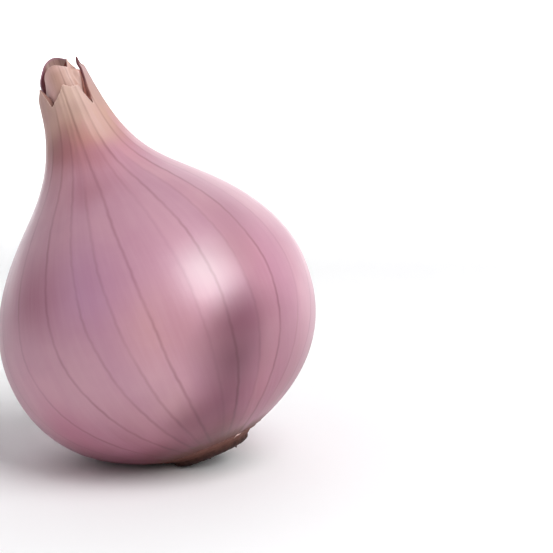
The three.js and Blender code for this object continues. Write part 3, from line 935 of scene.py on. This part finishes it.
def makeInnerMaterial():
    f = innerFinish
    material, tree, shader = newMaterial("young inner skin")
    spot = attribute(tree, "spot", True)
    height = part(tree, spot, "Z")
    fibres = useGroup(tree, fibreGroup, {"Run": attribute(tree, "run", True),
                                        "Number": f["fibres"]})
    colour = between(tree, fibres["Broad"], f["tints"])
    # painted light on the left side
    colour = layered(tree, colour, part(tree, spot, "X"), f["left"])
    colour = veined(tree, colour, f)
    # painted shade at the foot
    colour = layered(tree, colour, height, f["foot"])
    colour = layered(tree, colour, height, f["top"])
    # painted light on the right margin
    onMargin = calc(tree, "MULTIPLY", ranged(tree, attribute(tree, "angle"), *f["marginFrom"]),
                    ranged(tree, height, *f["marginBelow"]))
    marginTint = between(tree, ranged(tree, height, *f["margin"]), f["marginLightTints"])
    colour = blended(tree, onMargin, colour, marginTint)
    tree.links.new(colour, shader.inputs["Base Color"])
    shader.inputs["Roughness"].default_value = f["roughness"]
    dried(tree, shader, spot, fibres["Fine"], bladeRelief)
    return material


secondFinish = {
    "fibres": 8.0,
    "outsideTints": ((208, 172, 160), (178, 138, 128)),
    "outsideLow": {"over": (52.9, 52.3), "tint": (196, 148, 138)},
    # painted shade: the outside darkens at its foot, deep in the hollow
    "paintedShadeFoot": {"over": (50.0, 48.0, 0.0, 0.8), "tint": (140, 92, 84)},
    # inside it is tan behind the young skin, with painted shade: darker maroon on the left in the gap
    # beside the young skin, dark at the bottom, and a painted shadow of the fold in the corner on the
    # right, whose edge slopes with the angle
    "withinTints": ((174, 136, 126), (146, 108, 100)),
    "paintedShadeLeft": {"over": (205.0, 240.0), "tint": (96, 42, 52)},
    "paintedShadeLow": {"over": (52.4, 50.0, 0.0, 0.7), "tint": (104, 58, 56)},
    "cornerSlope": 0.034, "cornerBelow": (59.55, 59.3), "cornerTo": (178.0, 160.0),
    "cornerShadowTint": (116, 42, 32),
    "veinWidth": 0.14, "veinAmount": 0.35, "veinTint": (110, 66, 70),
    # the torn edge is mauve along the top and down the left side
    "rimBelow": (0.4, 0.0, 0.0, 0.7), "rimFrom": (100.0, 140.0, 0.15, 1.0), "rimTint": (168, 122, 142),
    "leftEdge": {"over": (257.0, 263.0), "tint": (152, 112, 128)},
    "roughness": 0.42,
}


def makeSecondMaterial():
    f = secondFinish
    material, tree, shader = newMaterial("dry second skin")
    spot = attribute(tree, "spot", True)
    angle = attribute(tree, "angle")
    height = part(tree, spot, "Z")
    fibres = useGroup(tree, fibreGroup, {"Run": attribute(tree, "run", True),
                                        "Number": f["fibres"]})
    outside = between(tree, fibres["Broad"], f["outsideTints"])
    outside = layered(tree, outside, height, f["outsideLow"])
    # painted shade at the foot
    outside = layered(tree, outside, height, f["paintedShadeFoot"])
    within = between(tree, fibres["Broad"], f["withinTints"])
    # painted shade: maroon on the left, dark at the bottom
    within = layered(tree, within, angle, f["paintedShadeLeft"])
    within = layered(tree, within, height, f["paintedShadeLow"])
    # a painted shadow of the fold in the corner on the right
    corner = calc(tree, "MULTIPLY_ADD", angle, f["cornerSlope"], height)
    dark = calc(tree, "MULTIPLY", ranged(tree, corner, *f["cornerBelow"]),
                ranged(tree, angle, *f["cornerTo"]))
    within = blended(tree, dark, within, linear(*f["cornerShadowTint"]))
    colour = blended(tree, attribute(tree, "inside"), outside, within)
    colour = veined(tree, colour, f)
    rim = calc(tree, "MULTIPLY", ranged(tree, attribute(tree, "fromRim"), *f["rimBelow"]),
               ranged(tree, angle, *f["rimFrom"]))
    colour = blended(tree, rim, colour, linear(*f["rimTint"]))
    colour = layered(tree, colour, angle, f["leftEdge"])
    tree.links.new(colour, shader.inputs["Base Color"])
    shader.inputs["Roughness"].default_value = f["roughness"]
    dried(tree, shader, spot, fibres["Fine"], bladeRelief)
    return material


# the corky root plate and the stubs of its cut roots
rootPlate = {
    "rimRadius": 5.3, "rim": 0.1, "rimRound": 0.8, "drop": 0.85, "shoulderRadius": 6.0, "shoulder": 0.5,
    "flankRadius": 7.6, "flank": 1.02, "top": 1.5, "tuckedIn": 0.6,
    "columns": 220, "domeRows": 34, "domePole": 0.04, "rimRows": 16, "flankRows": (10, 14),
    # cork: waves in and down, and finer ones; rings: a sine of the radius that wanders with the angle
    "cork": 0.035, "corkIn": 0.6, "corkDown": 0.8, "corkFrom": (0.0, 0.8),
    "corkPace": 5.0, "corkWaves": (10, 21, 3, 30), "fineCork": 0.6, "finePace": 9.0,
    "fineWaves": (12, 22, 20, 80),
    "rings": 0.05, "ringPace": 5.5, "ringWander": 0.8, "ringWaves": (5, 23, 1, 6),
    "stubs": 52, "stubRadius": 0.26, "stubLength": 0.42, "stubSides": 7, "stubRings": 5,
    "thinnest": 0.55, "thickest": 1.1, "shortest": 0.55, "longest": 1.15, "stubDepth": 0.25,
    "stubSeed": 12, "stubMargin": 0.1, "innermost": 0.02,
    # each stub stands this far round from the last one, and leans out more towards the rim
    "stubTurn": 137.5, "stubSpread": 14, "splay": 10, "splayMore": 30, "splaySpread": 12,
    "stubBend": 0.25, "stubRough": 0.12, "across": (0.3, 0.9, 0.1),
    # it tapers evenly, then by a high power of the way to a rounded tip
    "taper": 0.25, "tipTaper": 0.45, "tipPower": 8, "tipRise": 0.2,
}


domeRadius = rootPlate["rimRadius"] - rootPlate["rimRound"]


def domeHeight(way):
    # The dome under the plate, by the square of the way from the axis to its rim.
    return mixed(-rootPlate["drop"], rootPlate["rim"] - rootPlate["rimRound"], way ** 2)


def plateProfile():
    # From the axis below: the dome, a quarter round, the flank that carries on the bulb's outline,
    # and back to the axis under the skin.
    s = rootPlate
    way = np.linspace(s["domePole"], 1, s["domeRows"])
    dome = np.stack([domeRadius * way, domeHeight(way)], -1)
    turn = np.radians(np.linspace(-90, 0, s["rimRows"]))[1:]
    quarter = np.stack([np.cos(turn), np.sin(turn)], -1)
    rim = np.array([domeRadius, s["rim"]]) + quarter * s["rimRound"]
    corners = np.array([rim[-1], (s["shoulderRadius"], s["shoulder"]), (s["flankRadius"], s["flank"])])
    flank = [np.linspace(low, high, rows)[1:]
             for low, high, rows in zip(corners, corners[1:], s["flankRows"])]
    return np.vstack([dome, rim, *flank, (s["flankRadius"] - s["tuckedIn"], s["top"])])


def makeRootPlate(material):
    # The profile carried round the axis, with seeded cork and slow rings added along it.
    s = rootPlate
    profile = plateProfile()
    angle = np.linspace(0, 360, s["columns"], endpoint=False)[None]
    radius = profile[:, :1]
    height = profile[:, 1:]
    uneven = (waves(angle, radius * s["corkPace"], *s["corkWaves"])
              + s["fineCork"] * waves(angle, radius * s["finePace"], *s["fineWaves"]))
    cork = s["cork"] * smooth(radius, *s["corkFrom"]) * uneven
    wander = s["ringWander"] * waves(angle, radius, *s["ringWaves"])
    rings = s["rings"] * np.sin(radius * s["ringPace"] + wander)
    points = place(angle, radius + s["corkIn"] * cork, height - s["corkDown"] * cork + rings)
    rows = len(profile)
    poles = place(np.zeros(2), np.zeros(2), np.array([-s["drop"], s["top"]]))
    vertices = np.vstack([points.reshape(-1, 3), poles])
    piece = newPiece("rootPlate", vertices, closedFaces(rows, s["columns"]), material)
    addVector(piece, "spot", vertices)
    return piece


def makeRootStubs(material):
    # Each stub is a bent, tapering tube: rings round a line that leaves the dome and leans outwards.
    s = rootPlate
    draw = np.random.default_rng(s["stubSeed"])
    count = s["stubs"]
    away = (domeRadius - s["stubMargin"]) * np.sqrt(draw.uniform(s["innermost"], 1, count))
    turn = s["stubTurn"] * np.arange(count) + draw.uniform(-s["stubSpread"], s["stubSpread"], count)
    foot = place(turn, away, domeHeight(away / domeRadius) + s["stubDepth"])
    size = s["stubRadius"] * draw.uniform(s["thinnest"], s["thickest"], count)
    length = s["stubLength"] * draw.uniform(s["shortest"], s["longest"], count)
    spread = draw.uniform(-s["splaySpread"], s["splaySpread"], count)
    splay = np.radians(s["splay"] + s["splayMore"] * away / domeRadius + spread)
    outward = place(turn, np.ones(count), np.zeros(count))
    lean = outward * np.sin(splay)[:, None] + np.array([0, 0, -1]) * np.cos(splay)[:, None]
    way = np.linspace(0, 1, s["stubRings"])
    bent = draw.uniform(-s["stubBend"], s["stubBend"], count)
    bend = np.stack([-outward[:, 1], outward[:, 0], 0 * turn], -1) * bent[:, None]
    line = (foot[:, None] + lean[:, None] * (way * length[:, None])[..., None]
            + bend[:, None] * (way ** 2)[None, :, None])
    side = np.cross(lean, s["across"])
    side /= np.linalg.norm(side, axis=-1, keepdims=True)
    other = np.cross(lean, side)
    around = np.linspace(0, 2 * np.pi, s["stubSides"], endpoint=False)
    taper = 1 - s["taper"] * way - s["tipTaper"] * way ** s["tipPower"]
    rough = 1 + s["stubRough"] * draw.standard_normal((count, s["stubRings"], s["stubSides"]))
    reach = size[:, None, None] * taper[None, :, None] * rough
    circle = (np.cos(around)[:, None] * side[:, None, None]
              + np.sin(around)[:, None] * other[:, None, None])
    points = line[:, :, None] + reach[..., None] * circle
    each = s["stubRings"] * s["stubSides"]
    tips = line[:, -1] + lean * size[:, None] * s["tipRise"]
    vertices = np.vstack([points.reshape(-1, 3), tips, line[:, 0]])
    faces = []
    for stub in range(count):
        first = stub * each
        faces += [face[::-1] for face in gridFaces(s["stubRings"], s["stubSides"], True, first)]
        lastRing = first + each - s["stubSides"] + np.arange(s["stubSides"])
        faces += capFaces(lastRing, count * each + stub, up=False)
        faces += capFaces(first + np.arange(s["stubSides"]), count * each + count + stub, up=True)
    piece = newPiece("rootStubs", vertices, faces, material)
    addVector(piece, "spot", vertices)
    return piece


corkFinish = {
    "grain": 0.7, "grainOver": (0.4, 0.95), "tints": ((58, 34, 30), (100, 66, 56)),
    "flank": {"over": (-0.4, 0.9, 0.0, 0.9), "tint": (126, 84, 76)},
    "under": {"over": (0.3, -0.6, 0.0, 0.7), "tint": (46, 26, 24)},
    "bump": 0.35, "depth": 0.2, "roughness": 0.8, "specular": 0.2,
}


def makeCorkMaterial():
    f = corkFinish
    material, tree, shader = newMaterial("corky root")
    spot = attribute(tree, "spot", True)
    height = part(tree, spot, "Z")
    grain = useGroup(tree, grainGroup, {"Place": spot, "Size": f["grain"]})["Height"]
    colour = between(tree, ranged(tree, grain, *f["grainOver"]), f["tints"])
    colour = layered(tree, colour, height, f["flank"])
    colour = layered(tree, colour, height, f["under"])
    tree.links.new(colour, shader.inputs["Base Color"])
    raised(tree, shader, grain, f["bump"], f["depth"])
    shader.inputs["Roughness"].default_value = f["roughness"]
    shader.inputs["Specular IOR Level"].default_value = f["specular"]
    return material


# The floor, the lights and the camera, in metres. The key and the gloss stand "away" from what they
# point at, in the direction of their "from".
white = (1.0, 1.0, 1.0, 1.0)
stage = {
    "middle": (0.0, 0.0, 0.02),
    "front": 3.2, "back": 0.6, "sweep": 0.5, "backdrop": 1.2, "halfWidth": 3.2,
    "floorTint": (246, 246, 247), "floorRoughness": 0.9, "floorGlow": 0.12, "glowReach": (0.026, 0.08),
    "worldStrength": 0.4, "away": 0.42,
    "keyFrom": (0.554, -0.425, 0.714), "keySize": (0.33, 0.37), "keyPower": 1.66,
    "glossFrom": (0.563, -0.551, 0.616), "glossAt": (0.0088, -0.0185, 0.027),
    "glossSize": (0.34, 0.34), "glossPower": 1.65,
    "backFrom": (0.0, 0.35, 0.5), "backTo": (0.0, 1.1, 0.2), "backSize": (1.2, 0.3), "backPower": 9.0,
    "lens": 120.0, "sensor": 36.0, "nearest": 0.01, "furthest": 20.0,
    "distance": 0.2427, "elevation": 10.0, "aim": (0.0175, 0.0002, 0.0242),
}


def makeFloorMaterial():
    # It glows a little away from the shallot, as a light table does, so that it stays white.
    material, tree, shader = newMaterial("pale floor")
    shader.inputs["Base Color"].default_value = linear(*stage["floorTint"])
    shader.inputs["Roughness"].default_value = stage["floorRoughness"]
    shader.inputs["Emission Color"].default_value = white
    spot = addNode(tree, "TexCoord", {}).outputs["Object"]
    away = addNode(tree, "VectorMath", {0: spot}, operation="LENGTH").outputs["Value"]
    glow = ranged(tree, away, *stage["glowReach"], 0.0, stage["floorGlow"])
    tree.links.new(glow, shader.inputs["Emission Strength"])
    return material


def makeFloor():
    # Level under the shallot, then a quarter round up into a backdrop, so that no horizon shows.
    s = stage
    turn = np.radians(np.linspace(0, 90, 32))
    top = s["back"] + s["sweep"]
    depth = np.concatenate([[-s["front"], 0], s["back"] + s["sweep"] * np.sin(turn), [top]])
    height = np.concatenate([[0, 0], s["sweep"] * (1 - np.cos(turn)), [s["backdrop"]]])
    points = [(side * s["halfWidth"], y, z) for y, z in zip(depth, height) for side in (-1, 1)]
    floor = newObject("floor", points, gridFaces(len(depth), 2, closed=False), makeFloorMaterial())


def pointedAt(thing, place, target):
    thing.location = place
    thing.rotation_euler = (Vector(target) - Vector(place)).to_track_quat("-Z", "Y").to_euler()
    return thing


def addLight(name, place, target, size, power, shape="RECTANGLE"):
    lamp = bpy.data.lights.new(name, "AREA")
    lamp.shape = shape
    lamp.size, lamp.size_y = size
    lamp.energy = power
    light = pointedAt(inScene(bpy.data.objects.new(name, lamp)), place, target)
    light.visible_camera = False
    return light


def awayFrom(target, direction):
    unit = np.array(direction) / np.linalg.norm(direction)
    return (unit * stage["away"] + target).tolist()


def makeLights():
    s = stage
    addLight("key", awayFrom(s["middle"], s["keyFrom"]), s["middle"], s["keySize"], s["keyPower"])
    gloss = addLight("gloss", awayFrom(s["glossAt"], s["glossFrom"]), s["glossAt"], s["glossSize"],
                     s["glossPower"], "DISK")
    gloss.visible_diffuse = False                 # it only shows as the soft round shine
    addLight("backdrop", s["backFrom"], s["backTo"], s["backSize"], s["backPower"])
    world = bpy.data.worlds.new("studio")
    world.use_nodes = True
    background = world.node_tree.nodes["Background"]
    background.inputs["Color"].default_value = white
    background.inputs["Strength"].default_value = s["worldStrength"]
    bpy.context.scene.world = world
    bpy.context.scene.view_settings.view_transform = "Standard"


def makeCamera():
    s = stage
    lens = bpy.data.cameras.new("camera")
    lens.lens = s["lens"]
    lens.sensor_width = s["sensor"]
    lens.clip_start = s["nearest"]
    lens.clip_end = s["furthest"]
    down = np.radians(s["elevation"])
    back = np.array([0, -np.cos(down), np.sin(down)]) * s["distance"]
    camera = inScene(bpy.data.objects.new("camera", lens))
    pointedAt(camera, (np.array(s["aim"]) + back).tolist(), s["aim"])
    bpy.context.scene.camera = camera


# put together
outer = makeOuterSkin()
print("outer skin:", len(outer.data.polygons), "faces")
secondMaterial = makeSecondMaterial()
second = makeBlade("secondSkin", secondSkin, secondRadius, secondMaterial)
fold = makeBlade("frontFold", frontFold, foldRadius, secondMaterial)
inner = makeBlade("innerSkin", innerSkin, innerRadius, makeInnerMaterial())
print("neck skins:", sum(len(skin.data.polygons) for skin in (second, fold, inner)), "faces")
cork = makeCorkMaterial()
plate = makeRootPlate(cork)
stubs = makeRootStubs(cork)
print("root:", len(plate.data.polygons) + len(stubs.data.polygons), "faces")

for piece, node, finish in ((outer, "bulb", "dry_outer_skin"), (second, "second_skin", "second_skin"),
                            (fold, "second_skin", "second_skin"),
                            (inner, "inner_skin", "inner_skin"), (plate, "root_plate", "corky_root"),
                            (stubs, "root_plate", "corky_root")):
    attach(piece, "root")
    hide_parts(node)

makeFloor()
makeLights()
makeCamera()
print("floor, lights and camera are up")
